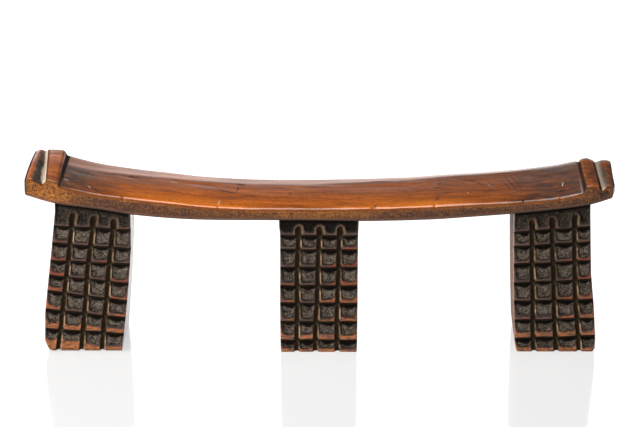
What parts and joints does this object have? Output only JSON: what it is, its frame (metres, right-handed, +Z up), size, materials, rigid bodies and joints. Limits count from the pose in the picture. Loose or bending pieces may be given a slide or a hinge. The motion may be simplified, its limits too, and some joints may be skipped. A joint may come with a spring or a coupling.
{
  "type": "carved headrest",
  "caption": "Wooden headrest carved from one block: a long, gently sagging bar with notched raised ends on block legs whose faces are cut into grids of small bosses.",
  "frame": {"origin": "on the ground under the middle of the piece, at the centre of its footprint box", "axes": "+X along the bar towards its right end as seen from the front, +Y from the front to the back, +Z up"},
  "size_m": [0.5034, 0.092, 0.1574],
  "materials": {
    "wood": "hand-carved hardwood, handled and oiled to a red-brown gloss, the carved leg faces charred dark"
  },
  "bodies": {
    "root": {"headrest": "wood"}
  },
  "joints": []
}
